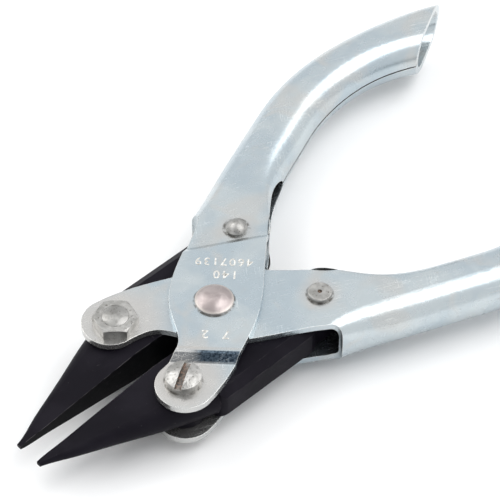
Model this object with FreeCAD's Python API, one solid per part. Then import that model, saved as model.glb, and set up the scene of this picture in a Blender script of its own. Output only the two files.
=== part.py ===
"""Flat nose pliers of the parallel-acting kind, in millimetres.

Two handles, each folded from one sheet, cross at the centre.  Each handle carries one jaw on a bolt and
guides the tail of the other jaw with a pin in a slot, so the two gripping faces stay parallel.
X points to the nose, Y to the left and Z up.  The parts are drawn about the centre of the crossing, on
the plane half way through the tool, and set down at the end so that the origin is at the middle of the
footprint.  Names with "left" and "right" are seen from above with the nose pointing away.
"""
import FreeCAD
import Part
import math
import os

V = FreeCAD.Vector
UP = V(0, 0, 1)

# ---- driving dimensions ----------------------------------------------------------------------------
# linkage
pivot_reach = 17.3        # centre rivet to the jaw bolts, along the tool
pivot_side = 9.9          # jaw bolts, to each side of the middle
guide_reach = 17.3        # centre rivet to the guide pins, along the tool
guide_side = 12.1         # guide pins, to each side of the middle
close_angle = 7.5         # each handle turns this far in to shut the jaws, degrees
open_angle = 10.0         # each handle turns this far out to open them fully, degrees
shut_gap = 0.06           # left between the gripping faces and the middle plane when shut

# sheet handles
sheet = 1.4               # thickness of the sheet
tube_half = 5.4           # half the height of the tube and of the plain cheeks, outside
slip = 0.06               # play between faces that slide on each other
fold_radius = 0.5         # inside radius of a fold
window_corner = 2.0       # corner radius of the window that the jaw tail looks out of
window_end = 23.2         # centre rivet to the rear edge of that window, along the grip
notch_end = 41.5          # centre rivet to the end of the open notch on the inner side, along the grip
notch_rounding = 12.5     # length of the half ellipse that closes the notch
seam_gap = 0.35           # gap left where the rolled edges meet
handle_end_x = 89.6       # centre rivet to the middle of the handle's end, along the tool
handle_end_y = 27.9       # the same, to the side
end_direction = 160.0     # direction of the grip there, degrees
end_slant = 42.0          # the end is cut this far from square, outer side longer, degrees
front_fold_angle = 44.0   # the raised cheek comes down towards the lobe in this direction, degrees
front_fold_back = 6.62    # start of that fold to the jaw bolt
rear_fold_angle = 240.8   # and towards the grip in this direction, degrees
rear_fold = 13.65         # centre rivet to the start of that fold
fold_run = 1.8            # length of both folds along the sheet

# jaws
nose_reach = 48.3         # centre rivet to the tip
nose_tip_width = 1.1
nose_tip_half = 0.42      # half the thickness at the tip
nose_fold = 18.5          # the nose starts to thin here
flank_side = 17.2         # ground flank of the tail, from the middle
flank_half = 2.5          # half the height of the ground flank
flank_bevel = 1.9         # width of the bevel above and below it
tail_wall = 1.9           # metal behind the slot
tail_half_width = 3.6     # half the width of the tail around its slot
boss_radius = 4.4         # flat round the bolt that bears on the cheeks

# fasteners
bolt_diameter = 5.0
bolt_head_diameter = 7.1
bolt_head_side = 1.7      # height of the head's straight side
bolt_head_dome = 0.8
screwdriver_slot = 1.4
slot_depth = 1.3
nut_flats = 8.0
nut_height = 2.3
nut_turn = 42             # direction of one corner of the lower nut, degrees
peened_diameter = 5.6
peened_height = 0.55
rivet_diameter = 4.5
rivet_head_diameter = 7.8
rivet_head_height = 1.6
rivet_flare = 0.8         # the flush end spreads by this in radius and in depth
pin_diameter = 3.2
pin_dome_diameter = 4.5
pin_dome_height = 1.6
pin_button_diameter = 5.0
pin_button_height = 0.9
running_fit = 0.05        # radial play of a turning or sliding joint

# ---- worked out from them --------------------------------------------------------------------------
cheek_in = tube_half - sheet                  # inside face of the plain cheeks
jaw_half = cheek_in - slip                    # half the thickness of the jaws
over_in = tube_half + slip                    # inside face of the cheeks that pass over the others
over_out = over_in + sheet
front_fold = (pivot_reach * math.cos(math.radians(front_fold_angle))
              + pivot_side * math.sin(math.radians(front_fold_angle)) - front_fold_back)
shut = math.radians(close_angle)
wide = math.radians(open_angle)
face_side = pivot_reach * math.sin(shut) + pivot_side * (1 - math.cos(shut)) + shut_gap


def slot_shift(turn):
    """How far a guide pin moves back along its slot when each handle turns out by turn (radians)."""
    return (pivot_reach + guide_reach) * (math.cos(turn) - 1) - (pivot_side + guide_side) * math.sin(turn)


# the slot is wider than the pin by the play and by the pin's small sideways drift
drift = abs(guide_side - pivot_side) * (1 - math.cos(max(shut, wide)))
guide_slot_half = pin_diameter / 2 + running_fit + drift
slot_back = guide_reach + slot_shift(-shut) + running_fit
slot_front = guide_reach + slot_shift(wide) - running_fit


# ---- helpers ---------------------------------------------------------------------------------------
def cylinder(radius, low, high, x=0.0, y=0.0):
    return Part.makeCylinder(radius, high - low, V(x, y, low), UP)


def block(x0, x1, y0, y1, z0, z1):
    return Part.makeBox(x1 - x0, y1 - y0, z1 - z0, V(x0, y0, z0))


def spline(points):
    curve = Part.BSplineCurve()
    curve.interpolate([V(x, y, 0) for x, y in points])
    return curve.toShape()


def prism(edges, low, high):
    """The closed outline, drawn on z = 0, from height low to height high."""
    face = Part.Face(Part.Wire(Part.__sortEdges__(edges)))
    face.translate(V(0, 0, low))
    return face.extrude(V(0, 0, high - low))


def polygon(points, low, high):
    corners = [V(x, y, 0) for x, y in points]
    sides = [Part.makeLine(a, b) for a, b in zip(corners, corners[1:] + corners[:1])]
    return prism(sides, low, high)


def flip_side(shape):
    """The same piece for the other side of the tool."""
    return shape.mirror(V(0, 0, 0), V(0, 1, 0))


def turn_over(shape):
    """The same piece put in from below."""
    return shape.mirror(V(0, 0, 0), V(0, 0, 1))


def one_solid(shape):
    shape = shape.removeSplitter()
    solids = shape.Solids
    if len(solids) != 1:
        raise ValueError(f"expected one solid, got {len(solids)}")
    return solids[0]


# ---- handles ---------------------------------------------------------------------------------------
# Drawn as the outer handle: its lobe is on the left (+Y) and its grip on the right (-Y).
lobe_radius = 5.95
lobe_x = pivot_reach + 0.35
lobe_y = pivot_side + 0.9
full_round = tube_half - 0.2        # corner radius where the channel is rolled round
notch_direction = 212.0             # the notch runs back in this direction, degrees
notch_lead = 3.0                    # and is cut from this far in front of the channel
notch_depth = 8.0                   # reach of its cutter towards the hollow
notch_outside = 5.0                 # and away from it

# stations along the grip: middle x and y, direction in degrees, width beyond two full corners, and
# how far the outer and inner corners are rolled round (0 to 1)
stations = [
    (-15.8, -13.5, 210.0, 7.1, 0.50, 0.05),
    (-24.7, -19.2, 205.0, 3.5, 0.95, 0.30),
    (-31.4, -22.9, 203.5, 2.2, 1.0, 0.80),
    (-38.6, -26.0, 203.0, 1.9, 1.0, 1.0),
    (-50.4, -30.7, 196.5, 1.8, 1.0, 1.0),
    (-62.5, -33.1, 184.6, 1.7, 1.0, 1.0),
    (-73.5, -32.7, 173.6, 1.8, 1.0, 1.0),
    (-83.4, -30.3, 165.0, 3.1, 1.0, 1.0),
    (-96.1, -25.2, 159.0, 4.2, 1.0, 1.0),
]


def direction(angle):
    return V(math.cos(math.radians(angle)), math.sin(math.radians(angle)), 0)


def station_frame(station):
    """Middle, outward direction and half width of the channel at a station."""
    x, y, angle, extra = station[:4]
    return V(x, y, 0), direction(angle + 90), full_round + extra / 2


def channel_section(station, inset):
    """Box with rounded corners across the grip; inset moves all its sides in."""
    middle, outward, half_width = station_frame(station)
    half = tube_half - inset
    corners = []
    for sign, roll in ((1, station[4]), (-1, station[5])):
        radius = max(full_round * roll - inset, 0.25)
        wall = middle + outward * (sign * (half_width - inset))
        corners.append((wall, outward * (-sign * radius), radius))
    bend = 1 - math.sqrt(0.5)
    edges = []
    for (wall, back, radius), (next_wall, next_back, _) in ((corners[0], corners[1]), (corners[1], corners[0])):
        for level in (1, -1):
            rise = UP * (level * half)
            drop = UP * (level * radius)
            edges.append(Part.Arc(wall + rise - drop, wall + back * bend + rise - drop * bend,
                                  wall + back + rise).toShape())
        edges.append(Part.makeLine(wall + UP * (half - radius), wall - UP * (half - radius)))
    for level in (1, -1):
        rise = UP * (level * half)
        edges.append(Part.makeLine(corners[0][0] + corners[0][1] + rise, corners[1][0] + corners[1][1] + rise))
    return Part.Wire(Part.__sortEdges__(edges))


def channel_loft(inset):
    return Part.makeLoft([channel_section(s, inset) for s in stations], True, False)


def lobe_point(angle):
    return V(lobe_x, lobe_y, 0) + direction(angle) * lobe_radius


def flat(point):
    return (point.x, point.y)


def cheek_outline(low, high):
    """Plain sheet from the lobe, past the centre rivet, to the first station of the channel."""
    middle, outward, half_width = station_frame(stations[0])
    outer_end = middle + outward * (half_width - full_round * stations[0][4])
    inner_end = middle - outward * half_width
    leave_in = lobe_point(100)
    leave_out = lobe_point(283)
    lobe = Part.Arc(leave_out, lobe_point(11), leave_in).toShape()
    inner = spline([flat(leave_in), (10.7, 15.2), (3.3, 12.2), (-4.3, 8.2), (-13.2, 0.5), flat(inner_end)])
    outer = spline([flat(leave_out), (15.6, 4.5), (12.6, 3.2), (10.2, 0.0), (7.0, -5.6), (2.4, -9.9),
                    (-4.5, -14.0), flat(outer_end)])
    return prism([lobe, inner, Part.makeLine(inner_end, outer_end), outer], low, high)


def joggled_strip(angle, start, run):
    """A folded sheet: level with the over-passing cheeks up to start, then down to the plain level."""
    step = over_in - cheek_in
    far = 60.0
    lower = [(-far, over_in), (start, over_in), (start + run, cheek_in), (far, cheek_in)]
    slant = sheet * math.tan(math.atan2(step, run) / 2)
    upper = [(far, tube_half), (start + run + slant, tube_half), (start + slant, over_out), (-far, over_out)]
    corners = [V(s, -far, z) for s, z in lower + upper]
    face = Part.Face(Part.makePolygon(corners + corners[:1]))
    strip = face.extrude(V(0, 2 * far, 0))
    folds = [e for e in strip.Edges if abs(e.Vertexes[0].Y - e.Vertexes[-1].Y) > far
             and abs(e.CenterOfMass.x) < far - 1]
    strip = strip.makeFillet(fold_radius, folds)
    strip.rotate(V(0, 0, 0), UP, angle)
    return strip


def over_cheek():
    """Upper cheek of the outer handle, raised where it passes over the inner handle."""
    middle_cut = 55.0
    strips = []
    for angle, start in ((front_fold_angle, front_fold), (rear_fold_angle, rear_fold)):
        half_space = block(0, 200, -200, 200, -20, 20)
        half_space.rotate(V(0, 0, 0), UP, middle_cut if angle < 180 else middle_cut + 180)
        strips.append(joggled_strip(angle, start, fold_run).common(half_space))
    sheet_shape = strips[0].fuse(strips[1])
    return sheet_shape.common(cheek_outline(cheek_in - 1, over_out + 1))


def seam_cutter():
    """Thin slot along the inner side of the grip, where the rolled edges meet."""
    reach = 14.0              # well past the inner side
    rear = stations[2:]
    centre_line = [V(s[0], s[1], 0) for s in rear]
    away = [station_frame(s)[0] - station_frame(s)[1] * reach for s in rear]
    near = spline([flat(p) for p in centre_line])
    far = spline([flat(p) for p in away])
    ends = [Part.makeLine(centre_line[0], away[0]), Part.makeLine(centre_line[-1], away[-1])]
    return prism([near, far] + ends, -seam_gap / 2, seam_gap / 2)


def notch_cutter():
    """Opening on the inner side: as high as the gap between the cheeks, closed by a half ellipse."""
    along = direction(notch_direction)
    inward = direction(notch_direction - 90)
    middle, outward, half_width = station_frame(stations[0])
    corner = middle - outward * half_width
    start = corner - along * notch_lead
    height = cheek_in - slip / 3          # clear of the other jaw's tail, which slides in between
    centre = corner + along * (notch_end - notch_rounding - corner.Length)
    ellipse = Part.Ellipse(centre + along * notch_rounding, centre + UP * height, centre)
    arc = Part.ArcOfEllipse(ellipse, -math.pi / 2, math.pi / 2).toShape()
    ends = [arc.Vertexes[0].Point, arc.Vertexes[-1].Point]
    corners = [start + UP * (height if p.z > 0 else -height) for p in ends]
    edges = [arc]
    edges.append(Part.makeLine(ends[0], corners[0]))
    edges.append(Part.makeLine(corners[0], corners[1]))
    edges.append(Part.makeLine(corners[1], ends[1]))
    face = Part.Face(Part.Wire(Part.__sortEdges__(edges)))
    face.translate(inward * notch_depth)
    return face.extrude(inward * (-notch_depth - notch_outside))


def window_cutter():
    """Takes the outer web away in front of the window's rear edge, with a rounded corner."""
    middle, outward, half_width = station_frame(stations[0])
    along = direction(stations[0][2])
    front = middle + outward * (half_width - full_round * stations[0][4])
    rear = front + along * (window_end - front.dot(along))
    step = rear + outward * window_corner
    turn = rear - along * window_corner
    centre = turn + outward * window_corner
    corner = Part.Arc(turn, centre + (along - outward).normalize() * window_corner, step).toShape()
    out = outward * 12        # well past the outer side
    first = front - along * 2
    edges = [Part.makeLine(first, turn), corner, Part.makeLine(step, rear + out)]
    edges += [Part.makeLine(rear + out, first + out), Part.makeLine(first + out, first)]
    return prism(edges, -tube_half - 1, tube_half + 1)


def end_cutter():
    """Everything beyond the slanted end of the tube."""
    slab = block(0, 40, -60, 60, -20, 20)
    slab.rotate(V(0, 0, 0), UP, end_direction - end_slant)
    slab.translate(V(-handle_end_x, -handle_end_y, 0))
    return slab


def handle(top_cheek):
    """One folded sheet: two cheeks joined to a channel that is rolled into an open tube."""
    channel = channel_loft(0).cut(channel_loft(sheet))
    body = channel.fuse([top_cheek, turn_over(top_cheek)])
    for cutter in (window_cutter(), notch_cutter(), seam_cutter(), end_cutter()):
        body = body.cut(cutter)
    through = over_out + 1
    body = body.cut(cylinder(bolt_diameter / 2, -through, through, pivot_reach, pivot_side))
    body = body.cut(cylinder(pin_diameter / 2, -through, through, -guide_reach, -guide_side))
    return body


def outer_handle():
    body = handle(over_cheek())
    hole = cylinder(rivet_diameter / 2 + running_fit, -over_out - 1, over_out + 1)
    return one_solid(body.cut(hole))


def inner_handle():
    body = handle(cheek_outline(cheek_in, tube_half))
    body = body.cut(cylinder(rivet_diameter / 2, -over_out, over_out))
    flare = rivet_end_cone()
    body = body.cut(flare).cut(turn_over(flare))
    return one_solid(flip_side(body))


# ---- jaws ------------------------------------------------------------------------------------------
def jaw_half_at(x):
    """Half the thickness of the jaw: level behind the fold of the nose, then a straight taper."""
    if x < nose_fold:
        return jaw_half
    return jaw_half + (nose_tip_half - jaw_half) * (x - nose_fold) / (nose_reach - nose_fold)


def nose_section(x, side, rounding, slack):
    """Section across the nose: flat inside, top and bottom; its outer side bulges by rounding x half."""
    half = jaw_half_at(x) - slack
    bulge = min(rounding * half, (side - face_side) * 0.45)
    inner = face_side - 1
    top = V(x, side - bulge, half)
    low = V(x, side - bulge, -half)
    edges = [
        Part.makeLine(V(x, inner, half), top),
        Part.Arc(top, V(x, side, 0), low).toShape(),
        Part.makeLine(low, V(x, inner, -half)),
        Part.makeLine(V(x, inner, -half), V(x, inner, half)),
    ]
    return Part.Wire(edges)


def left_jaw():
    """Nose, pivot boss and slotted tail in one piece."""
    hidden = 0.02             # the forging stays this far under the ground faces of the tail
    tip_side = face_side + nose_tip_width
    straight = 23.0           # the nose's outer side is straight up to here
    straight_side = 13.5
    nose_run = [nose_reach, 43.0, 37.0, 30.0, straight]
    spread = (straight_side - tip_side) / (nose_reach - straight)
    sections = [(x, tip_side + spread * (nose_reach - x), 0.85) for x in nose_run]
    sections += [(nose_fold, 14.9, 0.7), (14.0, 16.2, 0.5), (9.0, flank_side - 0.2, 0.4)]
    nose = Part.makeLoft([nose_section(*section, hidden) for section in sections], True, False)
    level = jaw_half - hidden
    nose = nose.common(block(-60, 60, -20, 60, -level, level))

    tail_end = slot_back + pin_diameter / 2 + tail_wall
    tail_out = guide_side + tail_half_width
    tail_in = guide_side - tail_half_width
    end_middle = tail_end - tail_half_width
    shoulder = 9.3            # the flank starts to round in here
    edges = [
        Part.makeLine(V(13.5, face_side - 1, 0), V(13.5, flank_side - 1.5, 0)),
        Part.Arc(V(13.5, flank_side - 1.5, 0), V(13.1, flank_side - 0.4, 0), V(12.0, flank_side, 0)).toShape(),
        Part.makeLine(V(12.0, flank_side, 0), V(-shoulder, flank_side, 0)),
        spline([(-shoulder, flank_side), (-shoulder - 1.9, flank_side - 0.35),
                (-shoulder - 3.4, tail_out + 0.25), (-shoulder - 5.4, tail_out)]),
        Part.makeLine(V(-shoulder - 5.4, tail_out, 0), V(-end_middle, tail_out, 0)),
        Part.Arc(V(-end_middle, tail_out, 0), V(-tail_end, guide_side, 0), V(-end_middle, tail_in, 0)).toShape(),
        Part.makeLine(V(-end_middle, tail_in, 0), V(-8.0, tail_in, 0)),
        Part.makeLine(V(-8.0, tail_in, 0), V(6.0, face_side - 1, 0)),
        Part.makeLine(V(6.0, face_side - 1, 0), V(13.5, face_side - 1, 0)),
    ]
    tail = prism(edges, -jaw_half, jaw_half)
    bevel_side = flank_side - flank_bevel
    profile = [(-20, -jaw_half), (bevel_side, -jaw_half), (flank_side, -flank_half),
               (flank_side, flank_half), (bevel_side, jaw_half), (-20, jaw_half)]
    corners = [V(-40, y, z) for y, z in profile]
    bar = Part.Face(Part.makePolygon(corners + corners[:1])).extrude(V(80, 0, 0))
    tail = tail.common(bar)

    boss = cylinder(boss_radius, -jaw_half, jaw_half, pivot_reach, pivot_side)
    body = nose.fuse([tail, boss])
    body = body.cut(block(-60, 60, -20, face_side, -20, 20))
    body = body.cut(cylinder(bolt_diameter / 2 + running_fit, -20, 20, pivot_reach, pivot_side))
    slot = block(-slot_back, -slot_front, guide_side - guide_slot_half, guide_side + guide_slot_half, -20, 20)
    for x in (slot_back, slot_front):
        slot = slot.fuse(cylinder(guide_slot_half, -20, 20, -x, guide_side))
    return one_solid(body.cut(slot))


# ---- fasteners -------------------------------------------------------------------------------------
def dome(radius, height, level, x=0.0, y=0.0):
    """Cap of a ball: radius at its rim, height at its middle."""
    ball = (radius ** 2 + height ** 2) / (2 * height)
    cap = Part.makeSphere(ball, V(x, y, level + height - ball))
    return cap.common(cylinder(radius + 0.001, level, level + height + 1, x, y))


def rivet_end_cone():
    return Part.makeCone(rivet_diameter / 2 + rivet_flare, rivet_diameter / 2, rivet_flare, V(0, 0, cheek_in), UP)


def top_centre_rivet():
    """Domed outside, flush inside, so that the throat between the cheeks stays open."""
    shank = cylinder(rivet_diameter / 2, cheek_in, over_out)
    rim = 0.5
    rim_disc = cylinder(rivet_head_diameter / 2, over_out, over_out + rim)
    head = dome(rivet_head_diameter / 2, rivet_head_height - rim, over_out + rim)
    return one_solid(shank.fuse([rim_disc, head, rivet_end_cone()]))


def jaw_bolt():
    """Slotted head on top; the threaded end goes through the nut and is peened over."""
    end = -tube_half - nut_height
    shank = cylinder(bolt_diameter / 2, end, tube_half)
    head = cylinder(bolt_head_diameter / 2, tube_half, tube_half + bolt_head_side)
    cap = dome(bolt_head_diameter / 2, bolt_head_dome, tube_half + bolt_head_side)
    top = tube_half + bolt_head_side + bolt_head_dome
    slot = block(-10, 10, -screwdriver_slot / 2, screwdriver_slot / 2, top - slot_depth, top + 1)
    slot.rotate(V(0, 0, 0), UP, 30)
    peened = turn_over(dome(peened_diameter / 2, peened_height, tube_half + nut_height))
    bolt = shank.fuse([head, cap, peened]).cut(slot)
    bolt.translate(V(pivot_reach, pivot_side, 0))
    return one_solid(bolt)


def jaw_nut():
    """Thin hexagon nut below, its corners bevelled outside."""
    reach = nut_flats / math.sqrt(3)
    corners = [(reach * math.cos(math.radians(a)), reach * math.sin(math.radians(a)))
               for a in range(nut_turn, 360, 60)]
    nut = polygon(corners, tube_half, tube_half + nut_height)
    slope = math.tan(math.radians(30))
    rim = nut_flats / 2 + 0.1
    cone_low = tube_half + nut_height - (reach + 0.5 - rim) * slope
    cone = Part.makeCone(reach + 0.5, rim, tube_half + nut_height - cone_low, V(0, 0, cone_low), UP)
    keep = cylinder(reach + 0.5, tube_half, cone_low).fuse(cone)
    nut = nut.common(keep).cut(cylinder(bolt_diameter / 2, 0, 20))
    nut = turn_over(nut)
    nut.translate(V(pivot_reach, pivot_side, 0))
    return one_solid(nut)


def guide_pin():
    """Dome on top, flat button with a centre dimple below; held in both cheeks of the outer handle."""
    pin = cylinder(pin_diameter / 2, -tube_half, tube_half)
    rim = 0.45
    neck = cylinder(pin_dome_diameter / 2, tube_half, tube_half + rim)
    ball = dome(pin_dome_diameter / 2, pin_dome_height - rim, tube_half + rim)
    button = cylinder(pin_button_diameter / 2, tube_half, tube_half + pin_button_height)
    edge = max(button.Edges, key=lambda e: e.CenterOfMass.z if e.Length > 1 else -1)
    button = button.makeFillet(0.3, [edge])
    dimple = Part.makeSphere(0.5, V(0, 0, tube_half + pin_button_height + 0.2))
    button = turn_over(button.cut(dimple))
    pin = pin.fuse([neck, ball, button])
    pin.translate(V(-guide_reach, -guide_side, 0))
    return one_solid(pin)


# ---- the set of parts ------------------------------------------------------------------------------
def other_side_up(shape):
    """The same fastener on the other side of the tool, put in from the other face."""
    return turn_over(flip_side(shape))


def build():
    jaw = left_jaw()
    rivet = top_centre_rivet()
    bolt = jaw_bolt()
    nut = jaw_nut()
    pin = guide_pin()
    return {
        "outer_handle": outer_handle(),
        "inner_handle": inner_handle(),
        "left_jaw": jaw,
        "right_jaw": flip_side(jaw),
        "top_centre_rivet": rivet,
        "bottom_centre_rivet": turn_over(rivet),
        "left_jaw_bolt": bolt,
        "right_jaw_bolt": other_side_up(bolt),
        "left_jaw_nut": nut,
        "right_jaw_nut": other_side_up(nut),
        "outer_handle_guide_pin": pin,
        "inner_handle_guide_pin": other_side_up(pin),
    }


def main():
    os.makedirs("parts", exist_ok=True)
    parts = build()
    box = Part.makeCompound(list(parts.values())).optimalBoundingBox()
    origin = V((box.XMin + box.XMax) / 2, (box.YMin + box.YMax) / 2, box.ZMin)
    for name, shape in parts.items():
        placed = shape.copy()
        placed.translate(origin * -1)
        placed.exportStep(f"parts/{name}.step")
        print(f"{name}: {placed.Volume:.1f} mm3, valid {placed.isValid()}")
    print(f"centre of the crossing at {-origin.x:.4f} {-origin.y:.4f} {-origin.z:.4f}")
    print(f"overall {box.XLength:.3f} x {box.YLength:.3f} x {box.ZLength:.3f}")


main()
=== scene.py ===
import math

import bmesh
import bpy
import numpy as np
from mathutils import Matrix, Vector


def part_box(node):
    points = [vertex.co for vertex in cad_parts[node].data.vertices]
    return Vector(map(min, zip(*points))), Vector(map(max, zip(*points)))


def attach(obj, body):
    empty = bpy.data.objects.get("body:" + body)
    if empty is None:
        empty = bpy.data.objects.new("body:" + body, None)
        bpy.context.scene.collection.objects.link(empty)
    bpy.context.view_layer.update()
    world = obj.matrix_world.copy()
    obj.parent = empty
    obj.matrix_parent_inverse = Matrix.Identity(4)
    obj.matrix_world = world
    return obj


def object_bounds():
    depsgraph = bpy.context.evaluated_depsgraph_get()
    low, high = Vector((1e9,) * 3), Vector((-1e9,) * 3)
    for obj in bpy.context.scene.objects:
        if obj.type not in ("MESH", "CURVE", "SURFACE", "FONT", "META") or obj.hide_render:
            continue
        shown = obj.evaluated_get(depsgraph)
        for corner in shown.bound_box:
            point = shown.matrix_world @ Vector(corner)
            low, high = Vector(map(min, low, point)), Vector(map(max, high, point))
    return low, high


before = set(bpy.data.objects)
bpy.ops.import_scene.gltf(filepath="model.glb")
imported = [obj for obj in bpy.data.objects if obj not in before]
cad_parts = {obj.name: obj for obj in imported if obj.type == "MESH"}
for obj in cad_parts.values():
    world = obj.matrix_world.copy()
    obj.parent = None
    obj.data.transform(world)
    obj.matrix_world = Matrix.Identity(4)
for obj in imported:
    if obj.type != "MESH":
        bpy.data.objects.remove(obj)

MM = 0.001
CAD_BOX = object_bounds()

# ---- places, all worked out from the frame -----------------------------------------------------------


def middle(name):
    """Centre of a CAD node's box."""
    low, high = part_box(name)
    return (low + high) / 2


RIVET = middle("top_centre_rivet")
CROSSING = Vector((RIVET.x, RIVET.y, middle("outer_handle").z))
LEFT_BOLT = middle("left_jaw_bolt")
RIGHT_BOLT = middle("right_jaw_bolt")
OUTER_PIN = middle("outer_handle_guide_pin")
INNER_PIN = middle("inner_handle_guide_pin")
RIVET_HEAD = 1.6 * MM       # height of the centre rivet's head
RAISED_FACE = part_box("top_centre_rivet")[1].z - RIVET_HEAD
FOLD_HEADING = 44.0         # level direction in which the raised cheek comes down to its lobe, degrees

# start and end on the raised cheek, as distances from the crossing in that direction
FOLD_LIP = (11.7 * MM, 12.6 * MM)
FOLD_SLOPE = (12.55 * MM, 14.75 * MM)
FOLD_REFLECTION_SIDE = (4.6 * MM, 1.2 * MM)       # the painted blue reflection fades in between these, measured to the side

# where the hollow of a handle begins and ends, as places along the tool, forward of the crossing
CHANNEL_START = (-17 * MM, -20 * MM)
GRIP_MOUTH = (-86 * MM, -76 * MM)
HOLLOW_REACH = 9 * MM       # how near the opposite wall has to be

DIMPLE = 0.55 * MM          # radius of the dark dimple painted on a guide pin
CONTACT_SHADOW_WIDTH = 0.55 * MM     # how far the painted contact shadow reaches out from under a head
HEAD_SPOTS = (
    ("top_centre_rivet", RIVET), ("left_jaw_bolt", LEFT_BOLT), ("right_jaw_bolt", RIGHT_BOLT),
    ("outer_handle_guide_pin", OUTER_PIN), ("inner_handle_guide_pin", INNER_PIN),
)

# ---- short calls for material nodes ------------------------------------------------------------------


def put(tree, kind, sockets=None, **settings):
    """Adds a node; a socket takes a value or another node's output."""
    made = tree.nodes.new(kind)
    for key, value in settings.items():
        setattr(made, key, value)
    for key, value in (sockets or {}).items():
        if isinstance(value, bpy.types.NodeSocket):
            tree.links.new(value, made.inputs[key])
        else:
            made.inputs[key].default_value = value
    return made


def colour(red, green, blue):
    """An opaque colour for a socket."""
    return (red, green, blue, 1.0)


def place(tree):
    """Position on the piece in the tool's own frame, in metres."""
    return put(tree, "ShaderNodeTexCoord").outputs["Object"]


def stretched(tree, where, turn, scale):
    """The position turned about the vertical (degrees), then scaled along each axis."""
    turned = put(tree, "ShaderNodeMapping", {"Vector": where, "Rotation": (0, 0, math.radians(turn))})
    return put(tree, "ShaderNodeMapping", {"Vector": turned.outputs[0], "Scale": scale}).outputs[0]


def cloud(tree, where, size, detail=3.0, roughness=0.5, warp=0.0):
    """Soft noise around one half; size is the width of a patch in metres."""
    sockets = {"Vector": where, "Scale": 1 / size, "Detail": detail, "Roughness": roughness,
               "Distortion": warp}
    return put(tree, "ShaderNodeTexNoise", sockets).outputs[0]


def between(tree, value, low, high):
    """A smooth step: 0 where the value has not passed low, 1 where it has passed high."""
    sockets = {"Value": value, "From Min": low, "From Max": high}
    return put(tree, "ShaderNodeMapRange", sockets, interpolation_type="SMOOTHSTEP", clamp=True).outputs[0]


def spread(tree, value, low, high):
    """A value from 0 to 1 drawn out to run from low to high."""
    return put(tree, "ShaderNodeMapRange", {"Value": value, "To Min": low, "To Max": high}).outputs[0]


def openness(tree, reach, samples):
    """1 in the open, towards 0 where the piece's own walls stand nearer than the reach."""
    return put(tree, "ShaderNodeAmbientOcclusion", {"Distance": reach}, samples=samples,
               only_local=True).outputs["AO"]


def calculated(tree, operation, first, second=0.0):
    """One step of arithmetic on two values."""
    return put(tree, "ShaderNodeMath", {0: first, 1: second}, operation=operation).outputs[0]


def product(tree, *values):
    """All the values multiplied together."""
    result = values[0]
    for value in values[1:]:
        result = calculated(tree, "MULTIPLY", result, value)
    return result


def blended(tree, amount, base, top):
    """Colour base where amount is 0, colour top where it is 1."""
    return put(tree, "ShaderNodeMix", {0: amount, 6: base, 7: top}, data_type="RGBA").outputs[2]


def along(tree, where, heading):
    """Distance from the crossing along a level heading (degrees), in metres."""
    way = Vector((math.cos(math.radians(heading)), math.sin(math.radians(heading)), 0))
    dot = put(tree, "ShaderNodeVectorMath", {0: where, 1: way}, operation="DOT_PRODUCT")
    return calculated(tree, "SUBTRACT", dot.outputs["Value"], CROSSING.dot(way))


def distance_to(tree, where, point):
    """Level distance from an upright line through the point."""
    flat = put(tree, "ShaderNodeVectorMath", {0: where, 1: (1, 1, 0)}, operation="MULTIPLY").outputs[0]
    upright = (point.x, point.y, 0)
    return put(tree, "ShaderNodeVectorMath", {0: flat, 1: upright}, operation="DISTANCE").outputs["Value"]


def height(tree, where):
    """Level above the floor, in metres."""
    return put(tree, "ShaderNodeSeparateXYZ", {0: where}).outputs["Z"]


def facing(tree, axis):
    """Part of the surface's own direction along an axis: 0 is X, 1 is Y, 2 is Z."""
    geometry = put(tree, "ShaderNodeNewGeometry")
    return put(tree, "ShaderNodeSeparateXYZ", {0: geometry.outputs["Normal"]}).outputs[axis]


def softened(tree, width):
    """The surface's direction with its edges rounded by that width."""
    return put(tree, "ShaderNodeBevel", {"Radius": width}, samples=6).outputs[0]


def edge(tree, width):
    """1 on an edge, 0 on a flat: how far the rounded direction turns away from the true one."""
    geometry = put(tree, "ShaderNodeNewGeometry")
    dot = put(tree, "ShaderNodeVectorMath", {0: softened(tree, width), 1: geometry.outputs["Normal"]},
              operation="DOT_PRODUCT")
    return between(tree, dot.outputs["Value"], 0.985, 0.80)


def relief(tree, heights, base):
    """Bump from a list of (value, depth in metres) on top of a base direction."""
    normal = base
    for value, depth in heights:
        normal = put(tree, "ShaderNodeBump", {"Strength": 1.0, "Distance": depth, "Height": value,
                                              "Normal": normal}).outputs[0]
    return normal


def new_finish(name):
    """An empty material with its node tree and its shader."""
    material = bpy.data.materials.new(name)
    material.use_nodes = True
    return material, material.node_tree, material.node_tree.nodes["Principled BSDF"]


def wire(tree, shader, **sockets):
    """Sets the shader's sockets: outputs are linked, plain values are set."""
    for key, value in sockets.items():
        target = shader.inputs[key.replace("_", " ")]
        if isinstance(value, bpy.types.NodeSocket):
            tree.links.new(value, target)
        else:
            target.default_value = value


# ---- finishes ----------------------------------------------------------------------------------------

SPECK_RIM = 0.03            # how softly a dot ends
LINE_STRETCH = 0.033        # scale along a scratch: the noise is drawn out 30 times
RIVET_RIM = (3.2 * MM, 3.8 * MM)        # radii between which the rivet's head turns pale
RING_PITCH = 0.28 * MM      # spacing of the rings on the rivet's head


def specks(tree, where, size, share):
    """Fine dots: 1 in a dot, 0 elsewhere; a larger share gives more of them."""
    return between(tree, cloud(tree, where, size, 1.0), 1 - share, 1 - share + SPECK_RIM)


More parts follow.
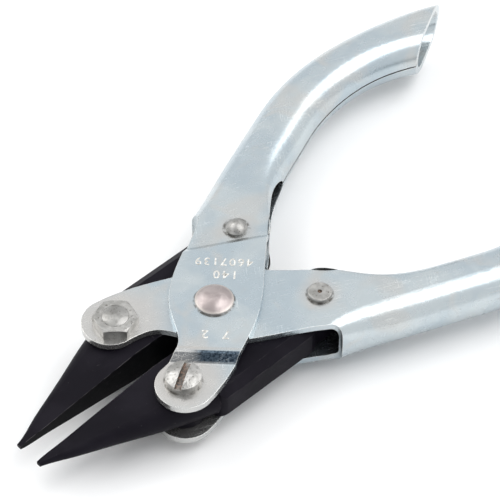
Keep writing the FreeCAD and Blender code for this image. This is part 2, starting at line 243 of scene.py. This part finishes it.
def scratches(tree, where, turn, spacing, share):
    """Thin lines: noise drawn out along one heading and cut to its narrow crest, in a share of the area."""
    lines = cloud(tree, stretched(tree, where, turn, (LINE_STRETCH, 1, 1)), spacing, 2.0)
    off = calculated(tree, "ABSOLUTE", calculated(tree, "SUBTRACT", lines, 0.5))
    crest = between(tree, off, 0.006, 0.001)
    return product(tree, crest, between(tree, cloud(tree, where, 6 * MM, 2.0), 1 - share, 1 - share + 0.1))


def contact_shadow_ring(tree, where, fastener, point):
    """Painted contact shadow around a fastener's head: 1 at the head's rim, 0 beyond the shadow's width."""
    low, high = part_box(fastener)
    rim = (high.x - low.x) / 2
    return between(tree, distance_to(tree, where, point), rim + CONTACT_SHADOW_WIDTH, rim + 0.10 * MM)


def near_either(tree, where, spots):
    """1 close to any of the points, falling to 0; each spot is (point, outer radius, inner radius)."""
    result = 0.0
    for point, outer, inner in spots:
        close = between(tree, distance_to(tree, where, point), outer, inner)
        result = calculated(tree, "MAXIMUM", result, close)
    return result


def strip_mask(tree, distance, limits, rise, fall):
    """1 between two limits; it rises over one width past the first and falls over another before the second."""
    start, end = limits
    return product(tree, between(tree, distance, start, start + rise), between(tree, distance, end, end - fall))


def painted_fold_reflection(tree, where, base):
    """The slope of the front fold: a painted reflection that turns it dull and dark blue, mottled by the die's
    pits, with a faint warm lip behind it.
    """
    slope = along(tree, where, FOLD_HEADING)
    reflection_strip = strip_mask(tree, slope, FOLD_SLOPE, 0.3 * MM, 0.25 * MM)
    reflection_strip = product(tree, reflection_strip, between(tree, along(tree, where, FOLD_HEADING - 90), *FOLD_REFLECTION_SIDE))
    grain = between(tree, cloud(tree, where, 0.45 * MM, 2.0, 0.7), 0.36, 0.62)
    # painted reflection: the fold's slope turned dark blue
    blue = blended(tree, grain, colour(0.022, 0.040, 0.062), colour(0.15, 0.20, 0.25))
    base = blended(tree, reflection_strip, base, blue)
    lip = strip_mask(tree, slope, FOLD_LIP, 0.3 * MM, 0.3 * MM)
    return blended(tree, product(tree, lip, 0.35), base, colour(0.50, 0.46, 0.42))


def zinc_colours(tree, where):
    """Cloudy blue-grey and cream zinc, warmer on the lobes and in a ring around each guide pin."""
    broad = between(tree, cloud(tree, where, 14 * MM, 3.0, 0.55, 0.6), 0.38, 0.64)
    warm = between(tree, cloud(tree, where, 9 * MM, 2.0, 0.5, 0.8), 0.50, 0.68)
    base = blended(tree, broad, colour(0.445, 0.510, 0.550), colour(0.525, 0.575, 0.595))
    base = blended(tree, product(tree, warm, 0.45), base, colour(0.565, 0.545, 0.515))
    lobes = near_either(tree, where, ((LEFT_BOLT, 11 * MM, 5 * MM), (RIGHT_BOLT, 13 * MM, 6 * MM)))
    base = blended(tree, product(tree, lobes, 0.75), base, colour(0.575, 0.545, 0.515))
    rings = near_either(tree, where, ((OUTER_PIN, 5.5 * MM, 2.5 * MM), (INNER_PIN, 5.5 * MM, 2.5 * MM)))
    return blended(tree, product(tree, rings, 0.5), base, colour(0.56, 0.53, 0.50))


def painted_hollow_shade(tree, where):
    """Painted shade inside a handle: 1 deep inside it, 0 outside it, on its cut edges and at the open end of
    the grip.
    """
    back = along(tree, where, 0)
    level_face = between(tree, calculated(tree, "ABSOLUTE", facing(tree, 2)), 0.5, 0.8)
    inside = calculated(tree, "MAXIMUM", level_face, between(tree, back, *CHANNEL_START))
    deep = between(tree, openness(tree, HOLLOW_REACH, 8), 0.84, 0.58)
    return product(tree, deep, between(tree, back, *GRIP_MOUTH), inside)


def zinc_sheet(name, with_fold_reflection):
    """Bright zinc plate on pressed sheet: cloudy colours, fine pits, scratches, edges pale with wear and a
    painted edge highlight, painted contact shadow around the heads and painted shade in the hollow."""
    material, tree, shader = new_finish(name)
    where = place(tree)
    base = zinc_colours(tree, where)
    # paints the fold's dark blue reflection on this handle
    if with_fold_reflection:
        base = painted_fold_reflection(tree, where, base)
    spots = calculated(tree, "MAXIMUM", product(tree, specks(tree, where, 0.32 * MM, 0.235), 0.45),
                       product(tree, specks(tree, where, 0.75 * MM, 0.20), 0.7))
    base = blended(tree, spots, base, colour(0.22, 0.20, 0.17))
    lines = calculated(tree, "MAXIMUM", scratches(tree, where, 25, 1.1 * MM, 0.5),
                       scratches(tree, where, -52, 1.4 * MM, 0.42))
    base = blended(tree, product(tree, lines, 0.45), base, colour(0.42, 0.42, 0.40))
    # pale edges: wear and a painted edge highlight
    wear_and_edge_highlight = product(tree, edge(tree, 0.22 * MM), between(tree, cloud(tree, where, 1.6 * MM, 2.0), 0.25, 0.5))
    base = blended(tree, product(tree, wear_and_edge_highlight, 0.75), base, colour(0.93, 0.92, 0.88))
    blot = between(tree, cloud(tree, where, 1.3 * MM, 3.0, 0.6), 0.36, 0.60)
    # painted contact shadow, broken into blotches, around each head
    for fastener, point in HEAD_SPOTS:
        shade_blotches = product(tree, contact_shadow_ring(tree, where, fastener, point), blot, 0.8)
        base = blended(tree, shade_blotches, base, colour(0.085, 0.075, 0.062))
    # painted shade: the inside of the handle made near black
    base = blended(tree, painted_hollow_shade(tree, where), base, colour(0.010, 0.0095, 0.010))
    roughness = calculated(tree, "ADD", spread(tree, cloud(tree, where, 2.2 * MM, 4.0, 0.6), 0.18, 0.34),
                           product(tree, lines, 0.15))
    waves = cloud(tree, where, 7 * MM, 2.0)
    orange_peel = cloud(tree, where, 0.55 * MM, 3.0, 0.6)
    dents = [(waves, 0.04 * MM), (orange_peel, 0.008 * MM), (spots, -0.012 * MM), (lines, -0.010 * MM)]
    normal = relief(tree, dents, softened(tree, 0.18 * MM))
    wire(tree, shader, Base_Color=base, Metallic=0.9, Roughness=roughness, Normal=normal)
    return material


def black_steel(name, side):
    """Oil-blackened forging: near black with a violet cast, rubbed pale along its edges, with lint and nicks;
    side is 1 on the left and -1 on the right, and its gripping face is the darkest."""
    material, tree, shader = new_finish(name)
    where = place(tree)
    broad = between(tree, cloud(tree, where, 10 * MM, 3.0, 0.5, 0.4), 0.35, 0.65)
    base = blended(tree, broad, colour(0.0055, 0.0046, 0.0078), colour(0.0100, 0.0086, 0.0130))
    inner = between(tree, product(tree, facing(tree, 1), -side), 0.7, 0.95)
    base = blended(tree, inner, base, colour(0.0035, 0.0034, 0.0045))
    grind = cloud(tree, stretched(tree, where, 0, (0.06, 1, 1)), 0.35 * MM, 3.0, 0.6)
    lint = specks(tree, where, 0.28 * MM, 0.215)
    base = blended(tree, product(tree, lint, 0.35), base, colour(0.22, 0.21, 0.21))
    lines = scratches(tree, where, 18, 1.5 * MM, 0.40)
    base = blended(tree, product(tree, lines, 0.30), base, colour(0.13, 0.125, 0.13))
    patchy = between(tree, cloud(tree, where, 2.5 * MM, 3.0), 0.38, 0.62)
    rubbed = product(tree, edge(tree, 0.22 * MM), patchy)
    base = blended(tree, product(tree, rubbed, 0.8), base, colour(0.15, 0.14, 0.145))
    roughness = spread(tree, cloud(tree, where, 1.2 * MM, 3.0), 0.42, 0.60)
    normal = relief(tree, [(grind, 0.006 * MM), (cloud(tree, where, 1.5 * MM, 3.0), 0.02 * MM)],
                    softened(tree, 0.15 * MM))
    wire(tree, shader, Base_Color=base, Metallic=0.0, Roughness=roughness, Normal=normal)
    shader.inputs["Specular IOR Level"].default_value = 0.07
    return material


def shaded(tint, shade):
    """A colour made darker by a factor."""
    return colour(*(part * shade for part in tint))


def plated_fastener(name, shade, dimple_at=None, dimple_side=0):
    """Dull, slightly yellow zinc on a turned part, with painted shade mixed with reddish-brown dirt in its slot
    and corners;
    a pin has a dimple painted in the same dark and reddish-brown colours in its upper (1) or lower (-1) end."""
    material, tree, shader = new_finish(name)
    where = place(tree)
    broad = between(tree, cloud(tree, where, 2.5 * MM, 3.0, 0.6, 0.5), 0.35, 0.65)
    base = blended(tree, broad, shaded((0.34, 0.335, 0.32), shade), shaded((0.52, 0.512, 0.495), shade))
    pits = specks(tree, where, 0.34 * MM, 0.33)
    base = blended(tree, product(tree, pits, 0.8), base, colour(0.10, 0.09, 0.075))
    # pale edges: wear and a painted edge highlight
    wear_and_edge_highlight = product(tree, edge(tree, 0.15 * MM), between(tree, cloud(tree, where, 0.9 * MM, 2.0), 0.3, 0.55))
    base = blended(tree, product(tree, wear_and_edge_highlight, 0.7), base, colour(0.92, 0.91, 0.86))
    # painted shade in the slot and corners, mixed with reddish-brown dirt
    recess_shade = between(tree, openness(tree, 1.3 * MM, 6), 0.96, 0.66)
    shade_blotches = cloud(tree, where, 0.6 * MM, 3.0, 0.65)
    rusted = between(tree, shade_blotches, 0.42, 0.60)
    shade_and_rust = blended(tree, rusted, colour(0.035, 0.028, 0.022), colour(0.22, 0.14, 0.10))
    base = blended(tree, product(tree, recess_shade, 0.85), base, shade_and_rust)
    if dimple_at is not None:
        # the dimple painted in the same shade and reddish-brown colours
        spot = between(tree, distance_to(tree, where, dimple_at), DIMPLE, DIMPLE * 0.6)
        that_end = between(tree, height(tree, where), CROSSING.z - dimple_side * MM,
                           CROSSING.z + dimple_side * MM)
        base = blended(tree, product(tree, spot, that_end, 0.85), base, shade_and_rust)
    roughness = spread(tree, cloud(tree, where, 0.8 * MM, 3.0), 0.28, 0.48)
    normal = relief(tree, [(cloud(tree, where, 0.8 * MM, 3.0), 0.09 * MM), (pits, -0.05 * MM)],
                    softened(tree, 0.15 * MM))
    wire(tree, shader, Base_Color=base, Metallic=0.9, Roughness=roughness, Normal=normal)
    return material


def rivet_steel(name, point):
    """Headed steel with a warm, pinkish polish; fine rings from the riveting tool."""
    material, tree, shader = new_finish(name)
    where = place(tree)
    far = distance_to(tree, where, point)
    broad = between(tree, cloud(tree, where, 2.6 * MM, 3.0, 0.55, 0.8), 0.35, 0.65)
    base = blended(tree, broad, colour(0.34, 0.295, 0.29), colour(0.47, 0.415, 0.405))
    rim = between(tree, far, *RIVET_RIM)
    base = blended(tree, product(tree, rim, 0.4), base, colour(0.74, 0.70, 0.64))
    pits = specks(tree, where, 0.3 * MM, 0.25)
    base = blended(tree, product(tree, pits, 0.6), base, colour(0.16, 0.12, 0.10))
    # pale edges: wear and a painted edge highlight
    wear_and_edge_highlight = product(tree, edge(tree, 0.18 * MM), between(tree, cloud(tree, where, 0.9 * MM, 2.0), 0.3, 0.55))
    base = blended(tree, product(tree, wear_and_edge_highlight, 0.6), base, colour(0.93, 0.90, 0.87))
    rings = calculated(tree, "SINE", calculated(tree, "MULTIPLY", far, 2 * math.pi / RING_PITCH))
    roughness = spread(tree, cloud(tree, where, 0.9 * MM, 3.0), 0.32, 0.46)
    normal = relief(tree, [(rings, 0.002 * MM), (cloud(tree, where, 0.6 * MM, 3.0), 0.010 * MM)],
                    softened(tree, 0.18 * MM))
    wire(tree, shader, Base_Color=base, Metallic=0.92, Roughness=roughness, Normal=normal)
    return material


def paper_floor(name):
    """Matt white paper."""
    material, tree, shader = new_finish(name)
    wire(tree, shader, Base_Color=colour(0.93, 0.93, 0.93), Roughness=0.9)
    shader.inputs["Specular IOR Level"].default_value = 0.1
    return material


def punched_digits_painted_light(name):
    """Punched digits with painted light: a painted highlight makes their tops bright, a painted shadow darkens
    their edges where they meet the sheet.
    """
    material, tree, shader = new_finish(name)
    where = place(tree)
    # painted highlight: the digits' tops made pale
    patch = between(tree, cloud(tree, where, 0.7 * MM, 3.0, 0.6), 0.35, 0.62)
    base = blended(tree, patch, colour(0.50, 0.49, 0.46), colour(0.86, 0.85, 0.81))
    # painted shadow: the digits' edges darkened where they meet the sheet
    rim = edge(tree, 0.08 * MM)
    base = blended(tree, product(tree, rim, 0.55), base, colour(0.20, 0.185, 0.16))
    roughness = spread(tree, cloud(tree, where, 0.5 * MM, 3.0), 0.25, 0.45)
    normal = relief(tree, [(cloud(tree, where, 0.4 * MM, 3.0), 0.02 * MM)], softened(tree, 0.05 * MM))
    wire(tree, shader, Base_Color=base, Metallic=0.9, Roughness=roughness, Normal=normal)
    return material


FINISHES = {
    # True paints the fold's reflection on the outer handle
    "outer_handle": zinc_sheet("zinc on the outer handle", True),
    "inner_handle": zinc_sheet("zinc on the inner handle", False),
    "left_jaw": black_steel("blackened left jaw", 1),
    "right_jaw": black_steel("blackened right jaw", -1),
    "top_centre_rivet": rivet_steel("top rivet head", RIVET),
    "bottom_centre_rivet": rivet_steel("bottom rivet head", RIVET),
    "left_jaw_bolt": plated_fastener("zinc on the left bolt", 0.92),
    "right_jaw_bolt": plated_fastener("zinc on the right bolt", 0.72),
    "left_jaw_nut": plated_fastener("zinc on the left nut", 0.75),
    "right_jaw_nut": plated_fastener("zinc on the right nut", 0.86),
    "outer_handle_guide_pin": plated_fastener("zinc on the outer guide pin", 0.85, OUTER_PIN, -1),
    "inner_handle_guide_pin": plated_fastener("zinc on the inner guide pin", 0.85, INNER_PIN, 1),
}

for node_name, finish in FINISHES.items():
    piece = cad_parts[node_name]
    piece.data.materials.clear()
    piece.data.materials.append(finish)

# ---- numbers punched beside the centre rivet ---------------------------------------------------------

PUNCH_RELIEF = 0.04 * MM
PUNCH_STROKE = 0.04 * MM    # how much wider each stroke is made on either side
DIGIT_SHARE = 0.73          # height of a digit as a share of the text size
WELD = 0.001 * MM
ROWS = (
    # name, digits, how far behind the rivet, how far to the side, digit height
    ("stamped_size_row", "4607139", 10.3 * MM, -1.4 * MM, 2.0 * MM),
    ("stamped_type_row", "140", 6.9 * MM, -1.6 * MM, 2.1 * MM),
    ("stamped_batch_marks", "7  2", -8.7 * MM, -0.7 * MM, 2.1 * MM),
)


def digit_outlines(name, digits, size):
    """Mesh of a line of digits with their strokes widened, thickened to either side of the level plane."""
    text = bpy.data.curves.new(name, "FONT")
    text.body = digits
    text.size = size / DIGIT_SHARE
    text.space_character = 1.25
    text.resolution_u = 4
    text.extrude = PUNCH_RELIEF
    text.offset = PUNCH_STROKE
    holder = bpy.data.objects.new(name + "_outline", text)
    bpy.context.scene.collection.objects.link(holder)
    bpy.context.view_layer.update()
    shape = bpy.data.meshes.new_from_object(holder.evaluated_get(bpy.context.evaluated_depsgraph_get()))
    bpy.data.objects.remove(holder)
    return shape


def mesh_centre(shape):
    """Middle of the mesh's box."""
    corners = np.empty(len(shape.vertices) * 3)
    shape.vertices.foreach_get("co", corners)
    corners = corners.reshape(-1, 3)
    return Vector((corners.min(axis=0) + corners.max(axis=0)) / 2)


def weld(shape):
    """Joins doubled points and turns every face outwards."""
    work = bmesh.new()
    work.from_mesh(shape)
    bmesh.ops.remove_doubles(work, verts=work.verts, dist=WELD)
    bmesh.ops.recalc_face_normals(work, faces=work.faces)
    work.to_mesh(shape)
    work.free()


def punch_row(name, digits, back, side, size, finish):
    """A row of digits, each a flat outline raised by the relief and square across the outer handle's middle
    line. The row's centre is the rivet plus the given distances back along the handle and to its side."""
    shape = digit_outlines(name, digits, size)
    shape.transform(Matrix.Translation(Vector((side, 0, 0)) - mesh_centre(shape)))
    backwards = math.radians(FOLD_HEADING + 180)
    spot = Vector((RIVET.x, RIVET.y, RAISED_FACE))
    spot += back * Vector((math.cos(backwards), math.sin(backwards), 0))
    shape.transform(Matrix.Translation(spot) @ Matrix.Rotation(backwards + math.pi / 2, 4, "Z"))
    weld(shape)
    shape.materials.clear()
    shape.materials.append(finish)
    row = bpy.data.objects.new(name, shape)
    bpy.context.scene.collection.objects.link(row)
    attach(row, "outer_handle")


punched = punched_digits_painted_light("punched numbers, painted highlight and shadow")
for row_name, digits, back, side, size in ROWS:
    punch_row(row_name, digits, back, side, size, punched)

# ---- floor, light and camera -------------------------------------------------------------------------

FLOOR_REACH = 3.0
FLOOR_DROP = 0.02 * MM
LAMPS = (
    # name, place from the crossing, side, power, colour
    ("key light", (0.10, -0.90, 1.00), 0.70, 4.0, (1.0, 0.99, 0.97)),
    ("overhead panel", (-0.50, 0.25, 0.94), 0.85, 5.2, (1.0, 1.0, 1.0)),
)
EYE = Vector((226.76, 248.9, 397.55)) * MM      # the viewer's place from the crossing
LOOK = Vector((-0.4596, -0.4839, -0.7447))      # the way the viewer looks
ROLL = 0.27                                     # turn of the picture, degrees
LENS = 188.2
SENSOR = 36.0
NEAR_CLIP = 0.01
FAR_CLIP = 20.0
ROOM = (0.98, 0.99, 1.0)
VIEWER_SIDE = (0.10, 0.12, 0.15)
VIEWER_SPREAD = (20, 8)                         # degrees from the viewer between which the room darkens


def add_floor():
    """A wide level sheet just under the tool."""
    level = CAD_BOX[0].z - FLOOR_DROP
    corners = [(x * FLOOR_REACH, y * FLOOR_REACH, level) for x, y in ((-1, -1), (1, -1), (1, 1), (-1, 1))]
    mesh = bpy.data.meshes.new("paper sheet")
    mesh.from_pydata(corners, [], [(0, 1, 2, 3)])
    mesh.materials.append(paper_floor("white paper"))
    floor = bpy.data.objects.new("floor", mesh)
    bpy.context.scene.collection.objects.link(floor)


def add_softbox(name, offset, size, power, tint):
    """A square area light that looks at the crossing."""
    light = bpy.data.lights.new(name, "AREA")
    light.shape = "SQUARE"
    light.size = size
    light.energy = power
    light.color = tint
    lamp = bpy.data.objects.new(name, light)
    lamp.location = CROSSING + Vector(offset)
    lamp.rotation_mode = "QUATERNION"
    lamp.rotation_quaternion = (-Vector(offset)).to_track_quat("-Z", "Y")
    bpy.context.scene.collection.objects.link(lamp)


def add_world():
    """Pale room with a dark patch, fixed in the room, on the side where the viewer stands."""
    world = bpy.data.worlds.new("studio")
    bpy.context.scene.world = world
    world.use_nodes = True
    tree = world.node_tree
    background = tree.nodes["Background"]
    way = put(tree, "ShaderNodeTexCoord").outputs["Generated"]
    dot = put(tree, "ShaderNodeVectorMath", {0: way, 1: EYE.normalized()}, operation="DOT_PRODUCT")
    wide, narrow = (math.cos(math.radians(angle)) for angle in VIEWER_SPREAD)
    near = between(tree, dot.outputs["Value"], wide, narrow)
    tint = blended(tree, near, colour(*ROOM), colour(*VIEWER_SIDE))
    tree.links.new(tint, background.inputs["Color"])
    background.inputs["Strength"].default_value = 1.0


def add_camera():
    """The viewer's camera, level but for a small roll."""
    camera = bpy.data.cameras.new("camera")
    camera.sensor_width = SENSOR
    camera.lens = LENS
    camera.clip_start = NEAR_CLIP
    camera.clip_end = FAR_CLIP
    eye = bpy.data.objects.new("camera", camera)
    eye.location = CROSSING + EYE
    eye.rotation_mode = "QUATERNION"
    turn = LOOK.to_track_quat("-Z", "Y").to_matrix().to_4x4() @ Matrix.Rotation(math.radians(ROLL), 4, "Z")
    eye.rotation_quaternion = turn.to_quaternion()
    bpy.context.scene.collection.objects.link(eye)
    bpy.context.scene.camera = eye


bpy.context.scene.view_settings.view_transform = "Standard"
add_floor()
add_world()
for lamp in LAMPS:
    add_softbox(*lamp)
add_camera()
